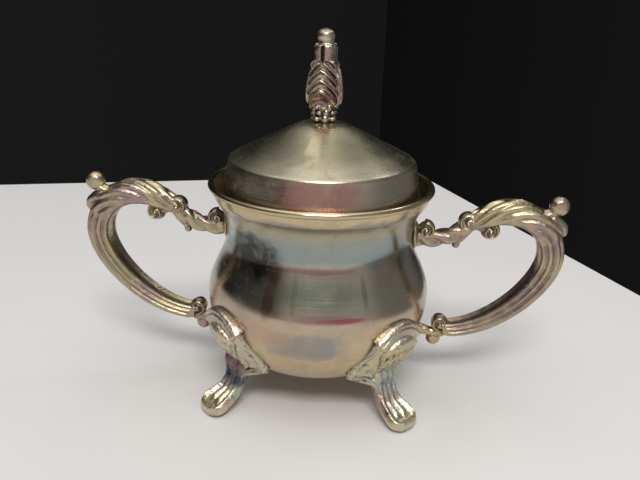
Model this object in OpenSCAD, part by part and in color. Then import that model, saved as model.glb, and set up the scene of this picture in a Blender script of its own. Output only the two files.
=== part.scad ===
// Footed sugar bowl with a lift-off lid, a cast finial, two scroll handles and four feet.
// +Z is up and +X runs through the right handle. The origin is on the table, below the bowl's centre.

/* [Bowl] */
// Height of the flat underside above the table
leg_h = 15; // [12:0.5:18]
// Height from the underside to the widest part of the belly
lower_h = 23.7; // [19.5:0.1:28.5]
// Height from the widest part of the belly to the neck
shoulder_h = 23.2; // [19:0.1:28]
// Height from the neck to the crease below the rim
collar_h = 12.2; // [10:0.1:15]
// Height from the crease to the middle of the rolled lip
flare_h = 4.6; // [3.8:0.1:5.6]
// Radius of the flat underside
base_r = 25.5; // [21:0.5:31]
// Radius of the belly
belly_r = 41; // [37:0.5:50]
// Radius of the neck
neck_r = 34; // [28:0.5:37]
// How far the crease stands out from the neck
collar_flare = 4.2; // [3.4:0.1:5.2]
// How far the middle of the lip stands out from the crease
rim_flare = 1.6; // [1.2:0.1:2]
// Radius of the rolled lip
lip_r = 1.15; // [0.9:0.05:1.4]
// Thickness of the spun sheet of the bowl
bowl_wall = 0.9; // [0.7:0.05:1.2]

/* [Lid] */
// Depth of the skirt's lower edge below the middle of the lip
skirt_depth = 6; // [4.8:0.1:7.2]
// Height of the skirt
skirt_h = 15.4; // [12.8:0.1:18.5]
// How much narrower the skirt is at its top
skirt_taper = 3; // [2.4:0.1:3.6]
// Radius of the rounded corner between the skirt and the cone
corner_r = 1.7; // [1.2:0.1:2.1]
// Height that the cone rises
cone_h = 12.2; // [10:0.1:14.7]
// Radius of the small flat top
top_r = 8; // [6.5:0.1:9.6]
// Thickness of the spun sheet of the lid
lid_wall = 0.8; // [0.6:0.05:1]
// Clearance between the lid's skirt and the inside of the bowl
lid_gap = 0.25; // [0.15:0.05:0.35]

/* [Finial] */
// Height of the finial
finial_h = 31.1; // [26:0.1:37.5]
// Largest radius of the finial
finial_r = 6.5; // [5.4:0.1:7.8]
// Radius of the stud that holds the finial
stud_r = 1.5; // [1.2:0.1:1.8]
// How deep the stud goes into the finial
stud_depth = 7; // [5:0.1:8.5]
// Thickness of the washer
washer_t = 0.6; // [0.4:0.1:0.8]
// Radius of the washer
washer_r = 4; // [3.6:0.1:4.8]
// Width of the nut across its flats
nut_w = 5.5; // [5:0.1:6.6]
// Thickness of the nut
nut_t = 2.4; // [2:0.1:2.9]
// Radial clearance around the stud
stud_fit = 0.05; // [0.03:0.01:0.08]

/* [Handles] */
// How far the middle of the handle's bow lies from the belly
handle_reach = 43; // [36:0.5:52]
// Radius of the round turn at the top of the bow
bow_r = 16; // [13.5:0.5:19]
// Height of the top of the bow above the neck
handle_rise = 10.1; // [8:0.1:12]
// Height of the lower end of the handle above the bowl's underside
handle_low = 9; // [7.5:0.1:10.8]
// Half of the handle's depth at the bow
handle_half_depth = 4.3; // [4:0.1:4.3]
// Half of the handle's thickness at the bow
handle_half_thick = 3.5; // [3.2:0.1:3.5]
// Radius of the ball on the leaf's curled tip
tip_ball_r = 3.3; // [2.5:0.1:3.6]

/* [Feet] */
// Half of the angle between the two feet on one side
foot_angle = 42.5; // [40:0.5:50]
// How far the middle of the toe stands out past the belly
toe_out = 6; // [3:0.5:7]
// How far the ankle lies inside the belly
ankle_in = 6; // [5:0.1:7.2]
// Half of the width of the ankle
ankle_half = 4.3; // [3.6:0.1:5.2]
// Half of the width of the toe
toe_half = 6.2; // [4.9:0.1:7]
// Thickness of the shield where it lies on the bowl
shield_t = 2.2; // [1.8:0.1:2.7]
// Half of the width of the shield at its lower corners
shield_half = 15; // [12.5:0.5:18]
// Height of the shield
shield_h = 22; // [18.5:0.5:26]
// Thickness of the solder between the bowl and a cast piece
solder_gap = 0.05; // [0.03:0.01:0.08]

/* [Hidden] */
$fn = 96;

base_z = leg_h;
belly_z = base_z + lower_h;
neck_z = belly_z + shoulder_h;
crease_z = neck_z + collar_h;
rim_z = crease_z + flare_h;
crease_r = neck_r + collar_flare;
rim_r = crease_r + rim_flare;
// Points along each curved stretch of an outline
curve_steps = 10;
// Points around the section of a cast bar
ring_points = 12;

// Curves and outlines

// Point at t, from 0 to 1, on the cubic curve with the four control points in c
function cubic(c, t) =
    pow(1 - t, 3) * c[0] + 3 * t * pow(1 - t, 2) * c[1]
    + 3 * t * t * (1 - t) * c[2] + pow(t, 3) * c[3];

// Points of a cubic curve without its first point
function cubic_points(c, steps) = [for (i = [1 : steps]) cubic(c, i / steps)];

// Left-hand normal of the step from a to b
function step_normal(a, b) = [a[1] - b[1], b[0] - a[0]] / norm(b - a);

// Normal at point i of an open outline
function point_normal(p, i) =
    let (
        before = step_normal(p[max(i - 1, 0)], p[max(i, 1)]),
        after = step_normal(p[min(i, len(p) - 2)], p[min(i + 1, len(p) - 1)]),
        sum = before + after
    )
    2 * sum / (sum * sum);

// The outline moved sideways by d, to its left where d is positive
function shifted(p, d) = [for (i = [0 : len(p) - 1]) p[i] + d * point_normal(p, i)];

function reversed(p) = [for (i = [len(p) - 1 : -1 : 0]) p[i]];

// Radius of an outline of revolution at height z
function radius_at(p, z) = lookup(z, [for (q = p) [q[1], q[0]]]);

// Outside of the bowl from the middle of its underside to its lip
function lower_belly() =
    [for (i = [0 : curve_steps])
        let (a = -90 + 90 * i / curve_steps)
        [base_r + (belly_r - base_r) * cos(a), belly_z + lower_h * sin(a)]];

shoulder_curve = [[belly_r, belly_z], [belly_r, belly_z + shoulder_h * 0.38],
                  [neck_r, neck_z - shoulder_h * 0.38], [neck_r, neck_z]];
collar_curve = [[neck_r, neck_z], [neck_r, neck_z + collar_h * 0.45],
                [crease_r - collar_flare * 0.35, crease_z - collar_h * 0.25], [crease_r, crease_z]];

// The wall of the bowl, from the edge of its underside
wall_outline = concat(
    lower_belly(),
    cubic_points(shoulder_curve, curve_steps),
    cubic_points(collar_curve, curve_steps),
    [[rim_r, rim_z]]
);
bowl_outline = concat([[0, base_z]], wall_outline);
bowl_inside = shifted(bowl_outline, bowl_wall);
solder_outline = shifted(bowl_outline, -solder_gap);
shield_outline = shifted(bowl_outline, -shield_t);

// Lid, from the lower edge of its skirt to the middle of its top
skirt_z = rim_z - skirt_depth;
flare_slope = atan2(crease_r - neck_r, crease_z - neck_z);
skirt_r = radius_at([for (i = [1 : len(bowl_inside) - 1]) bowl_inside[i]], skirt_z)
    - lid_gap / cos(flare_slope);
corner_z = skirt_z + skirt_h;
cone_r = skirt_r - skirt_taper;
cone_top_z = corner_z + cone_h;
top_z = cone_top_z + 0.5;
skirt_slope = atan2(skirt_taper, skirt_h);
cone_slope = atan2(cone_h, cone_r - top_r);
// The corner is an arc that meets both straight stretches
corner_turn = 90 - skirt_slope - cone_slope;
corner_reach = corner_r * tan(corner_turn / 2);
corner_centre = [cone_r, corner_z]
    - corner_reach * [-sin(skirt_slope), cos(skirt_slope)]
    - corner_r * [cos(skirt_slope), sin(skirt_slope)];
stud_hole_r = stud_r + 0.2;
lid_outline = concat(
    [[skirt_r, skirt_z]],
    [for (i = [0 : curve_steps])
        let (a = skirt_slope + corner_turn * i / curve_steps)
        corner_centre + corner_r * [cos(a), sin(a)]],
    [[top_r, cone_top_z], [top_r - 2, top_z], [stud_hole_r, top_z]]
);

// Finial: pairs of radius and height, as shares of its largest radius and of its height
finial_shape = [[0, 0], [0.62, 0], [0.7, 0.05], [0.56, 0.1], [0.72, 0.15], [0.95, 0.25], [1, 0.34],
                [0.9, 0.48], [0.72, 0.6], [0.56, 0.67], [0.54, 0.81], [0.4, 0.85],
                [0.44, 0.92], [0.33, 0.98], [0, 1]];
under_lid_z = top_z - lid_wall;
nut_z = under_lid_z - washer_t - nut_t;
stud_end_z = nut_z - 1;

// Handle: centre line of the bow in the plane of X and Z
bow_x = belly_r + handle_reach;
bow_top_z = neck_z + handle_rise;
bow_centre = [bow_x - bow_r, bow_top_z - bow_r];
handle_low_z = base_z + handle_low;
root_z = neck_z - 1.5;
root_x = radius_at(wall_outline, root_z) - 1;
knuckle = [belly_r + handle_reach * 0.3, bow_top_z - 5];
hook = [belly_r + handle_reach * 0.16, handle_low_z];
stem_curve = [[root_x, root_z], [root_x + 9, root_z - 0.7], knuckle - [5, 6], knuckle];
leaf_curve = [knuckle, knuckle + [4, 1.5], [bow_centre[0] - 6, bow_top_z], [bow_centre[0], bow_top_z]];
lower_curve = [[bow_x, bow_centre[1]], [bow_x, bow_centre[1] - (bow_centre[1] - handle_low_z) * 0.375],
               [bow_x - handle_reach * 0.42, handle_low_z + 0.5], hook];
bow_turn = [for (i = [1 : curve_steps])
    let (a = 90 - 90 * i / curve_steps)
    bow_centre + bow_r * [cos(a), sin(a)]];
handle_line = concat(
    [stem_curve[0]],
    cubic_points(stem_curve, curve_steps),
    cubic_points(leaf_curve, curve_steps),
    bow_turn,
    cubic_points(lower_curve, curve_steps * 2)
);
// Places of the leaf's tip at the turn and of its curled tip with the ball
leaf_tip = bow_centre + bow_r * [cos(30), sin(30)];
curl_dir = [cos(48.5), sin(48.5)];
tip_ball_out = 8.6;
// Half thickness and half depth at shares of the handle's length
thick_shares = [[0, 0.85], [0.2, 0.85], [0.32, 1], [0.6, 1], [1, 0.65]];
depth_shares = [[0, 0.75], [0.2, 0.75], [0.34, 1], [0.62, 1], [1, 0.75]];

// Foot: centre line of the leg in the plane of its radius and Z, with half width and half thickness
ankle_r = belly_r - ankle_in;
toe_r = belly_r + toe_out;
foot_leg = [
    // radius, height, half width, half thickness
    [ankle_r - 1, base_z + 8, ankle_half * 1.75, 3.4],
    [ankle_r + 0.4, base_z + 3, ankle_half * 1.4, 3.2],
    [ankle_r + 0.4, base_z - 1.5, ankle_half * 1.05, 2.7],
    [ankle_r + 1.6, base_z - 4.5, ankle_half, 2.4],
    [ankle_r + 4.4, base_z * 0.43, toe_half * 0.84, 2.5],
    [toe_r - 3.6, base_z * 0.26, toe_half * 0.98, 2.6],
    [toe_r, base_z * 0.15, toe_half, 2.7],
    [toe_r + 2, base_z * 0.13, toe_half * 0.8, 2.4],
    [toe_r + 3, base_z * 0.13, toe_half * 0.5, 1.6]
];
shield_top_z = base_z + 5 + shield_h;
shield_low_z = base_z + 4.5;
roll_r = 2.5;
roll_half = shield_half * 0.8;

// Bars and rings

// Solid between a list of rings that have equally many points
module loft(rings) {
    n = len(rings[0]);
    last = len(rings) - 1;
    points = [for (ring = rings) for (p = ring) p];
    sides = [for (i = [0 : last - 1]) for (k = [0 : n - 1])
        let (a = i * n + k, b = i * n + (k + 1) % n)
        each [[a, b, b + n], [a, b + n, a + n]]];
    start = [[for (k = [n - 1 : -1 : 0]) k]];
    end = [[for (k = [0 : n - 1]) last * n + k]];
    polyhedron(points = points, faces = concat(start, sides, end));
}

// Direction of a flat line at point i
function heading(p, i) =
    let (d = p[min(i + 1, len(p) - 1)] - p[max(i - 1, 0)])
    d / norm(d);

// Ring across a bar in the plane of X and Z, with its half thickness t and half depth d
function bar_ring(centre, dir, t, d) =
    [for (k = [0 : ring_points - 1])
        let (a = 360 * k / ring_points)
        [centre[0] - dir[1] * t * cos(a), d * sin(a), centre[1] + dir[0] * t * cos(a)]];

// Bar that follows a line of points in the plane of X and Z
module bar(line, thick, depth) {
    last = len(line) - 1;
    loft([for (i = [0 : last])
        bar_ring(line[i], heading(line, i), thick(i / last), depth(i / last))]);
}

// Solid of revolution below an outline that starts on the axis, up to height z_end
module solid_below(outline, z_end) {
    inside = [for (p = outline) if (p[1] < z_end) p];
    rotate_extrude() polygon(concat(inside, [[radius_at(outline, z_end), z_end], [0, z_end]]));
}

// Scroll that is rolled about a line along Y
module scroll(at, r, half) {
    translate([at[0], half, at[1]]) rotate([90, 0, 0]) cylinder(r = r, h = 2 * half);
}

module ball(at, r) {
    translate([at[0], 0, at[1]]) sphere(r = r);
}

// Pieces

module bowl_body() {
    color("#a89a7a") {
        rotate_extrude() polygon(concat(bowl_outline, reversed(bowl_inside)));
        translate([0, 0, rim_z]) rotate_extrude() translate([rim_r - bowl_wall / 2, 0]) circle(r = lip_r);
    }
}

module lid_shell() {
    color("#978a68")
    rotate_extrude() polygon(concat(lid_outline, reversed(shifted(lid_outline, lid_wall))));
}

module finial() {
    color("#6f6053")
    translate([0, 0, top_z]) difference() {
        rotate_extrude() polygon([for (p = finial_shape) [p[0] * finial_r, p[1] * finial_h]]);
        translate([0, 0, -1]) cylinder(r = stud_r + stud_fit, h = stud_depth + 1);
    }
}

module finial_stud() {
    color("#8c8778")
    translate([0, 0, stud_end_z]) cylinder(r = stud_r, h = top_z + stud_depth - stud_end_z);
}

module finial_washer() {
    color("#8c8778")
    translate([0, 0, under_lid_z - washer_t]) difference() {
        cylinder(r = washer_r, h = washer_t);
        translate([0, 0, -1]) cylinder(r = stud_hole_r, h = washer_t + 2);
    }
}

module finial_nut() {
    color("#8c8778")
    translate([0, 0, nut_z]) difference() {
        cylinder(r = nut_w / 2 / cos(30), h = nut_t, $fn = 6);
        translate([0, 0, -1]) cylinder(r = stud_r + stud_fit, h = nut_t + 2);
    }
}

// Handle on the side of +X, with everything inside the bowl's outside cut away
module handle_casting() {
    difference() {
        union() {
            bar(handle_line,
                function(s) handle_half_thick * lookup(s, thick_shares),
                function(s) handle_half_depth * lookup(s, depth_shares));
            // pad and end scroll on the neck
            translate([root_x - 2, 0, root_z]) rotate([0, 90, 0]) cylinder(r = 4.6, h = 3.8);
            scroll([root_x + 5, root_z + 3], 2.8, 2.6);
            // knuckle, hanging scroll and thorn
            scroll(knuckle, 3.1, 2.9);
            scroll(bow_centre + [-6.8, 8.2], 3, 2.6);
            ball(knuckle + [-4, -7.6], 1.5);
            // leaf tip at the turn and the curled tip with its ball
            ball(leaf_tip + [5.5, 0.8], 1.3);
            ball(leaf_tip + [2, 0.4], 3.2);
            loft([for (s = [0, 1])
                bar_ring(bow_centre + (bow_r + tip_ball_out * s) * curl_dir, curl_dir, 1.7, 1.7)]);
            ball(bow_centre + (bow_r + tip_ball_out) * curl_dir, tip_ball_r);
            // hook scroll, small ball and link to the belly
            scroll(hook + [-1, 2.6], 3, 2.8);
            ball(hook + [-3, -3.8], 2.2);
            translate([radius_at(wall_outline, hook[1]) - 3, 0, hook[1] - 1.2])
                rotate([0, 90, 0]) cylinder(r = 1.9, h = hook[0] - radius_at(wall_outline, hook[1]) + 2);
        }
        solid_below(solder_outline, rim_z);
    }
}

module handle_right() {
    color("#a08f6c") handle_casting();
}

module handle_left() {
    color("#a08f6c") rotate([0, 0, 180]) handle_casting();
}

// Ring across the leg of a foot: centre and direction in the plane of X and Z, width along Y
function leg_ring(i) =
    bar_ring([foot_leg[i][0], foot_leg[i][1]],
        heading([for (q = foot_leg) [q[0], q[1]]], i), foot_leg[i][3], foot_leg[i][2]);

// Height of the shield's arched top at the sideways place y
function arch_z(y) = shield_top_z - 1.5 - 6.5 * pow(y / roll_half, 2);

// Ring across the roll along the arch
function roll_ring(y, r) =
    let (z = arch_z(y), x = sqrt(pow(radius_at(shield_outline, z), 2) - y * y) - 0.6)
    [for (k = [0 : ring_points - 1])
        let (a = 360 * k / ring_points)
        [x + r * cos(a), y, z + r * sin(a)]];

// Foot on the side of +X, with everything inside the bowl's outside and below the table cut away
module foot_casting() {
    arch = [for (i = [-4 : 4]) [roll_half * i / 4, arch_z(roll_half * i / 4)]];
    difference() {
        union() {
            intersection() {
                solid_below(shield_outline, neck_z);
                rotate([90, 0, 90]) linear_extrude(belly_r + 10)
                    polygon(concat([[shield_half, shield_low_z], [ankle_half, base_z + 1.5],
                        [-ankle_half, base_z + 1.5], [-shield_half, shield_low_z]], arch));
            }
            loft([for (i = [0 : len(foot_leg) - 1]) leg_ring(i)]);
            loft([for (i = [-4 : 4]) roll_ring(roll_half * i / 4, roll_r * (1 - 0.02 * i * i))]);
            // rounded lobe below the roll
            translate([radius_at(shield_outline, shield_top_z - 11) - 6.5, 0, shield_top_z - 11.5])
                sphere(r = 8);
        }
        solid_below(solder_outline, rim_z);
        translate([0, -25, -10]) cube([belly_r + 30, 50, 10]);
    }
}

module foot_at(angle) {
    color("#a3966f") rotate([0, 0, angle]) foot_casting();
}

module foot_front_right() {
    foot_at(-foot_angle);
}

module foot_back_right() {
    foot_at(foot_angle);
}

module foot_back_left() {
    foot_at(180 - foot_angle);
}

module foot_front_left() {
    foot_at(180 + foot_angle);
}

bowl_body();
handle_left();
handle_right();
foot_front_left();
foot_front_right();
foot_back_left();
foot_back_right();
lid_shell();
finial();
finial_stud();
finial_washer();
finial_nut();
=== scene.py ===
"""Looks of the footed sugar bowl: spun bowl and lid, cast handles, feet and finial, all in tarnished plate;
some reflections, shade and a highlight are painted on the bowl and the lid.
"""
import math

import bmesh
import bpy
import numpy as np
from mathutils import Euler, Matrix, Vector


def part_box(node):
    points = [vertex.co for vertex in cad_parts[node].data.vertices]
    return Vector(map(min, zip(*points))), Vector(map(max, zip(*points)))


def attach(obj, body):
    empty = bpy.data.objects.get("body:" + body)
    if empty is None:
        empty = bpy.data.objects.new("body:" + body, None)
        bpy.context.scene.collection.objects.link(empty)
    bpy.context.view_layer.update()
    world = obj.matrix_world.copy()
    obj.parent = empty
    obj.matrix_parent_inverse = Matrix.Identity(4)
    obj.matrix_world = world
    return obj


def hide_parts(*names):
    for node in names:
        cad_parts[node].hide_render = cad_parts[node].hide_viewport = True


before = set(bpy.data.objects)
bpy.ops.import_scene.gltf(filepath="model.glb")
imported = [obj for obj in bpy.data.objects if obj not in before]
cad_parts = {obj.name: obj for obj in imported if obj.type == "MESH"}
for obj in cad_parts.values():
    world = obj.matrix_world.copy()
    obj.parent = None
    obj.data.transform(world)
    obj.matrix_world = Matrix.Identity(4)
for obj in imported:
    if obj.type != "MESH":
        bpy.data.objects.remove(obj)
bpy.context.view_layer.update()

# ---------------------------------------------------------------- sizes, in millimetres
MM = 0.001


def mm_box(node):
    """Lowest and highest corner of a CAD node."""
    low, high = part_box(node)
    return np.array(low) / MM, np.array(high) / MM


bowl_low, bowl_high = mm_box("bowl_body")
lid_low, lid_high = mm_box("lid_shell")
finial_low, finial_high = mm_box("finial")
nut_low, nut_high = mm_box("finial_nut")
washer_low, washer_high = mm_box("finial_washer")
stud_low, stud_high = mm_box("finial_stud")

# bowl
LIP_R = 1.15
BOWL_WALL = 0.9
BASE_Z = bowl_low[2]
BASE_R = 25.5
BELLY_R = bowl_high[0]
BELLY_Z = BASE_Z + 23.7
NECK_R = 34.0
NECK_Z = BELLY_Z + 23.2
CREASE_R = NECK_R + 4.2
CREASE_Z = NECK_Z + 12.2
RIM_Z = bowl_high[2] - LIP_R
RIM_R = CREASE_R + 1.6

# lid
LID_WALL = 0.8
SKIRT_Z = lid_low[2]
SKIRT_R = lid_high[0]
CORNER_Z = SKIRT_Z + 15.4
CONE_R = SKIRT_R - 3.0
CORNER_ROUND = 1.9
TOP_R = 8.0
TOP_Z = lid_high[2]
CONE_TOP_Z = TOP_Z - 0.5
STUD_HOLE_R = 1.7

# handles, in the plane of X and Z, on the side of +X
BOW_X = BELLY_R + 43.0
BOW_ROUND = 16.0
BOW_TOP_Z = NECK_Z + 10.1
BOW_CENTRE = np.array([BOW_X - BOW_ROUND, BOW_TOP_Z - BOW_ROUND])
HANDLE_LOW_Z = BASE_Z + 9.0
HANDLE_ROOT_Z = NECK_Z - 1.5
KNUCKLE = np.array([BELLY_R + 12.9, BOW_TOP_Z - 5.0])
HOOK = np.array([BELLY_R + 6.9, HANDLE_LOW_Z])
ROPE_PITCH = 13.0
VEIN_PITCH = 8.0
RIB_DEGREES = 34
SCROLL_THICK = 0.9
HANDLE_VOXEL, HANDLE_KEEP = 0.24, 0.4

# feet, on the side of +X
FOOT_ANGLE = 42.5
ANKLE_R = BELLY_R - 6.0
TOE_R = BELLY_R + 6.0
SHIELD_TOP_Z = BASE_Z + 27.0
HOLE_PITCH = 2.6
FOOT_VOXEL, FOOT_KEEP = 0.22, 0.45

# finial and its fastening
FINIAL_TURN = -0.2
FINIAL_VOXEL, FINIAL_KEEP = 0.14, 0.45
THREAD_PITCH, THREAD_DEPTH = 0.5, 0.16


# ---------------------------------------------------------------- curves
def cubic(points, steps, first=True):
    """Points along the cubic curve with four control points."""
    p = [np.asarray(q, float) for q in points]
    t = np.linspace(0, 1, steps + 1)[0 if first else 1:, None]
    return (1 - t) ** 3 * p[0] + 3 * t * (1 - t) ** 2 * p[1] + 3 * t * t * (1 - t) * p[2] + t ** 3 * p[3]


def arc(centre, radius, start, end, steps, first=True):
    """Points along a circle, with the angles in degrees."""
    a = np.radians(np.linspace(start, end, steps + 1))[0 if first else 1:]
    return np.asarray(centre) + radius * np.stack([np.cos(a), np.sin(a)], 1)


def smooth_line(points, steps):
    """Points along a smooth line through every given point."""
    p = np.asarray(points, float)
    full = np.vstack([2 * p[0] - p[1], p, 2 * p[-1] - p[-2]])
    rows = []
    for i in range(len(p) - 1):
        a, b, c, d = full[i:i + 4]
        t = np.linspace(0, 1, steps, endpoint=False)[:, None]
        rows.append(0.5 * (2 * b + (c - a) * t + (2 * a - 5 * b + 4 * c - d) * t ** 2
                           + (3 * b - a - 3 * c + d) * t ** 3))
    return np.vstack(rows + [p[-1:]])


def resample(line, count):
    """The same line with evenly spaced points, and the length along it."""
    step = np.linalg.norm(np.diff(line, axis=0), axis=1)
    length = np.concatenate([[0], np.cumsum(step)])
    at = np.linspace(0, length[-1], count)
    return np.stack([np.interp(at, length, line[:, k]) for k in range(line.shape[1])], 1), at


def shifted(outline, distance):
    """The outline moved sideways, to its left where the distance is positive."""
    step = np.diff(outline, axis=0)
    normal = np.stack([-step[:, 1], step[:, 0]], 1) / np.linalg.norm(step, axis=1)[:, None]
    both = np.vstack([normal[:1], normal]) + np.vstack([normal, normal[-1:]])
    return outline + distance * 2 * both / (both ** 2).sum(1)[:, None]


def ramp(x, low, high):
    """Smooth step from 0 at low to 1 at high."""
    t = np.clip((x - low) / (high - low), 0, 1)
    return t * t * (3 - 2 * t)


def bump(x, width):
    return np.exp(-(x / width) ** 2)


# ---------------------------------------------------------------- shells: (points, faces)
def grid_faces(rows, cols, wrap_rows=False, wrap_cols=False):
    faces = []
    for i in range(rows if wrap_rows else rows - 1):
        for k in range(cols if wrap_cols else cols - 1):
            a, b = i * cols + k, i * cols + (k + 1) % cols
            c, d = ((i + 1) % rows) * cols + (k + 1) % cols, ((i + 1) % rows) * cols + k
            faces.append((a, b, c, d))
    return faces


def lathe(outline, steps=180):
    """Solid of revolution of an outline of (radius, height), closed or with both its ends on the axis."""
    on_axis = outline[0, 0] < 1e-6 and outline[-1, 0] < 1e-6
    rows = outline[1:-1] if on_axis else outline
    a = np.linspace(0, 2 * np.pi, steps, endpoint=False)
    points = np.stack([np.outer(rows[:, 0], np.cos(a)), np.outer(rows[:, 0], np.sin(a)),
                       np.outer(rows[:, 1], np.ones(steps))], -1).reshape(-1, 3)
    faces = grid_faces(len(rows), steps, wrap_rows=not on_axis, wrap_cols=True)
    if on_axis:
        first, last = len(points), len(points) + 1
        points = np.vstack([points, [0, 0, outline[0, 1]], [0, 0, outline[-1, 1]]])
        base = (len(rows) - 1) * steps
        for k in range(steps):
            faces.append((first, (k + 1) % steps, k))
            faces.append((last, base + k, base + (k + 1) % steps))
    return points, faces


def tube(rings):
    """Closed shell through rings of equally many points, with a fan at each end."""
    count, around = rings.shape[:2]
    points = rings.reshape(-1, 3)
    faces = grid_faces(count, around, wrap_cols=True)
    first, last = len(points), len(points) + 1
    points = np.vstack([points, rings[0].mean(0), rings[-1].mean(0)])
    base = (count - 1) * around
    for k in range(around):
        faces.append((first, (k + 1) % around, k))
        faces.append((last, base + k, base + (k + 1) % around))
    return points, faces


def slab(top, bottom):
    """Closed shell between two grids of points with a common edge order."""
    rows, cols = top.shape[:2]
    n = rows * cols
    points = np.vstack([top.reshape(-1, 3), bottom.reshape(-1, 3)])
    faces = grid_faces(rows, cols)
    faces += [tuple(n + v for v in reversed(f)) for f in grid_faces(rows, cols)]
    edge = ([k for k in range(cols)] + [i * cols + cols - 1 for i in range(1, rows)]
            + [(rows - 1) * cols + k for k in range(cols - 2, -1, -1)]
            + [i * cols for i in range(rows - 2, 0, -1)])
    for a, b in zip(edge, edge[1:] + edge[:1]):
        faces.append((b, a, n + a, n + b))
    return points, faces


def joined(shells):
    points, faces, start = [], [], 0
    for p, f in shells:
        points.append(p)
        faces += [tuple(start + v for v in face) for face in f]
        start += len(p)
    return np.vstack(points), faces


def blob(centre, radii, dimple=0.0, around=32):
    """Rounded ball; a dimple hollows its two sides along Y."""
    rows = around * 3 // 4
    polar = np.linspace(0, np.pi, rows + 2)[1:-1]
    a = np.linspace(0, 2 * np.pi, around, endpoint=False)
    side = np.minimum(polar, np.pi - polar)
    reach = 1 - dimple * bump(side, 0.55)
    y = reach * np.cos(polar)
    ring = np.sin(polar) * (1 - 0.15 * dimple * bump(side, 0.55))
    rings = np.stack([np.outer(ring, np.cos(a)), np.outer(y, np.ones(around)), np.outer(ring, np.sin(a))], -1)
    return tube(np.asarray(centre) + rings * np.asarray(radii))


def flat_bar(line, thick, depth, relief=None, around=40, square=(2.0, 2.0)):
    """Bar along a line in the plane of X and Z. relief(length, angle) is added outward, in millimetres.

    square shapes the outer and the inner half of the section: 2 is oval, and more is squarer.
    """
    line = np.asarray(line, float)
    count = len(line)
    length = np.concatenate([[0], np.cumsum(np.linalg.norm(np.diff(line, axis=0), axis=1))])
    ahead = np.gradient(line, axis=0)
    ahead /= np.linalg.norm(ahead, axis=1)[:, None]
    out = np.stack([-ahead[:, 1], ahead[:, 0]], 1)
    angle = np.linspace(-np.pi, np.pi, around, endpoint=False)
    thick, depth = np.broadcast_to(thick, count)[:, None], np.broadcast_to(depth, count)[:, None]
    extra = relief(length[:, None], angle[None, :]) if relief else 0.0
    c, s = np.cos(angle)[None, :], np.sin(angle)[None, :]
    power = np.where(c > 0, *square)
    stretch = (np.abs(c) ** power + np.abs(s) ** power) ** (-1 / power)
    # the inner half of the section is a little thicker
    outer_share, inner_share = 0.95, 1.12
    across = (thick + extra) * c * stretch * np.where(c > 0, outer_share, inner_share)
    side = (depth + extra) * s * stretch
    rings = np.stack([line[:, :1] + out[:, :1] * across, side + 0 * across,
                      line[:, 1:] + out[:, 1:] * across], -1)
    return tube(rings)


def wire(line, radius, around=14):
    """Round bar along any line in space."""
    line = np.asarray(line, float)
    ahead = np.gradient(line, axis=0)
    ahead /= np.linalg.norm(ahead, axis=1)[:, None]
    radius = np.broadcast_to(radius, len(line))
    side = np.cross(ahead[0], [0.3, 0.2, 1.0])
    rings = []
    angle = np.linspace(0, 2 * np.pi, around, endpoint=False)
    for p, d, r in zip(line, ahead, radius):
        side = side - d * (side @ d)
        side /= np.linalg.norm(side)
        up = np.cross(d, side)
        rings.append(p + r * (np.outer(np.cos(angle), side) + np.outer(np.sin(angle), up)))
    return tube(np.array(rings))


def volute(centre, radius, half_width, start, turns):
    """Rolled scroll about a line along Y. The start is in degrees, and the sign of turns is its direction."""
    steps = 52
    t = np.linspace(0, 1, steps)
    reach = (radius - SCROLL_THICK) * (1 - 0.8 * t ** 1.5)
    angle = np.radians(start) + 2 * np.pi * turns * t
    line = np.asarray(centre) + np.stack([reach * np.cos(angle), reach * np.sin(angle)], 1)
    roll = flat_bar(line, SCROLL_THICK * (1 - 0.35 * t), half_width * (0.84 + 0.16 * t), around=20)
    eye = blob((centre[0], 0, centre[1]), (radius * 0.3, half_width * 1.14, radius * 0.3), around=20)
    core = blob((centre[0], 0, centre[1]), (radius * 0.86, half_width * 0.7, radius * 0.86), around=24)
    return joined([roll, eye, core])


# ---------------------------------------------------------------- objects
def make(name, shell, smooth=True):
    """Object from a shell in millimetres."""
    points, faces = shell
    mesh = bpy.data.meshes.new(name)
    mesh.from_pydata((points * MM).tolist(), [], faces)
    edit = bmesh.new()
    edit.from_mesh(mesh)
    bmesh.ops.recalc_face_normals(edit, faces=edit.faces)
    edit.to_mesh(mesh)
    edit.free()
    mesh.shade_smooth() if smooth else mesh.shade_flat()
    piece = bpy.data.objects.new(name, mesh)
    bpy.context.scene.collection.objects.link(piece)
    return piece


def baked(piece):
    """Applies the piece's modifiers."""
    graph = bpy.context.evaluated_depsgraph_get()
    mesh = bpy.data.meshes.new_from_object(piece.evaluated_get(graph))
    piece.modifiers.clear()
    piece.data = mesh
    mesh.shade_smooth()
    return piece


def fused(name, shells, voxel, keep=0.5, rounds=2):
    """One casting from overlapping shells: fused, softened a little and thinned."""
    piece = make(name, joined(shells))
    fuse = piece.modifiers.new("fuse", "REMESH")
    fuse.mode = "VOXEL"
    fuse.voxel_size = voxel * MM
    soften = piece.modifiers.new("soften", "SMOOTH")
    soften.factor = 0.5
    soften.iterations = rounds
    thin = piece.modifiers.new("thin", "DECIMATE")
    thin.ratio = keep
    return baked(piece)


def vertex_array(mesh):
    co = np.zeros(len(mesh.vertices) * 3)
    mesh.vertices.foreach_get("co", co)
    return co.reshape(-1, 3)


def press_to_bowl(piece, bury=0.35):
    """Seats a casting on the bowl: no point stays deeper in the bowl's wall than bury."""
    co = vertex_array(piece.data) / MM
    radius = np.hypot(co[:, 0], co[:, 1])
    wall = bowl_radius(co[:, 2]) - bury
    deep = (radius < wall) & (co[:, 2] > BASE_Z + 1.5) & (co[:, 2] < RIM_Z)
    scale = np.where(deep, wall / np.maximum(radius, 1e-6), 1.0)
    co[:, 0] *= scale
    co[:, 1] *= scale
    piece.data.vertices.foreach_set("co", (co * MM).ravel())
    piece.data.update()


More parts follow.
